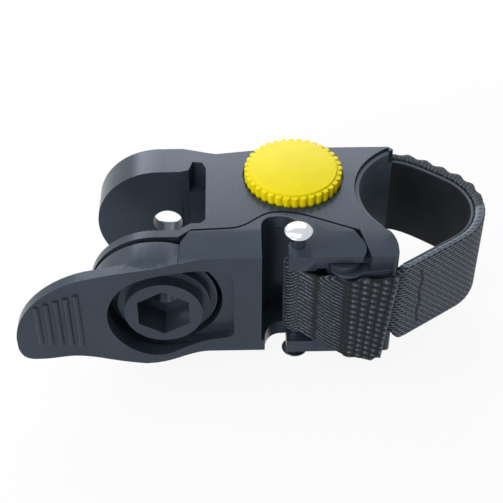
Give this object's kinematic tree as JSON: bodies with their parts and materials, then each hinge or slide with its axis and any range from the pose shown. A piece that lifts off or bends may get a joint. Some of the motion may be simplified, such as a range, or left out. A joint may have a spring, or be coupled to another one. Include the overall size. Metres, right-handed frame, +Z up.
{
  "type": "mudguard mount",
  "caption": "Quick-release seatpost clamp for a mudguard arm: over-centre lever with a thumb tab, woven strap loop, tension knob and a bolt clevis.",
  "frame": {"origin": "on the clevis bolt's axis, midway between the faces of the slot", "axes": "+X from the clevis towards the seatpost, +Y along the bolt axis away from the lever, +Z up along the seatpost, the knob's side"},
  "size_m": [0.0936, 0.0404, 0.0336],
  "materials": {
    "nylon": "satin, fine grain",
    "knob_nylon": "semi-gloss",
    "acetal": "satin",
    "seat_rubber": "matte",
    "webbing": "coarse woven",
    "rivet_chrome": "polished",
    "steel": "plain"
  },
  "bodies": {
    "body": {"clamp_body": "nylon", "base_cover": "nylon", "cover_screws": "steel", "seat_pad": "seat_rubber", "hinge_pins": "steel", "webbing_loop": "webbing", "strap_liner": "seat_rubber", "spindle_bush": "acetal", "foot_bush": "acetal", "detent_ball": "steel", "detent_spring": "steel"},
    "lever": {"lever": "nylon", "strap_pin": "rivet_chrome", "pin_cap": "rivet_chrome"},
    "strap_tail": {"webbing_end": "webbing"},
    "knob": {"tension_knob": "knob_nylon", "spool": "nylon", "webbing_coil": "webbing", "strap_anchor": "steel", "knob_screw": "steel", "thrust_washer": "acetal"}
  },
  "joints": [
    {"name": "lever_hinge", "type": "hinge", "parent": "body", "child": "lever", "pos_m": [0.035, -0.0142, 0], "axis": [0, 0, 1], "range_deg": [0, 120]},
    {"name": "strap_turn", "type": "hinge", "parent": "lever", "child": "strap_tail", "pos_m": [0.0262, -0.0131, 0], "axis": [0, 0, 1], "range_deg": [-102, 0]},
    {"name": "knob_spin", "type": "hinge", "parent": "body", "child": "knob", "pos_m": [0.02616, 0.0074, 0], "axis": [0, 0, 1], "range_deg": [-180, 180]}
  ],
  "couplings": [
    {"joint": "strap_turn", "follows": "lever_hinge", "ratio": -0.85}
  ]
}
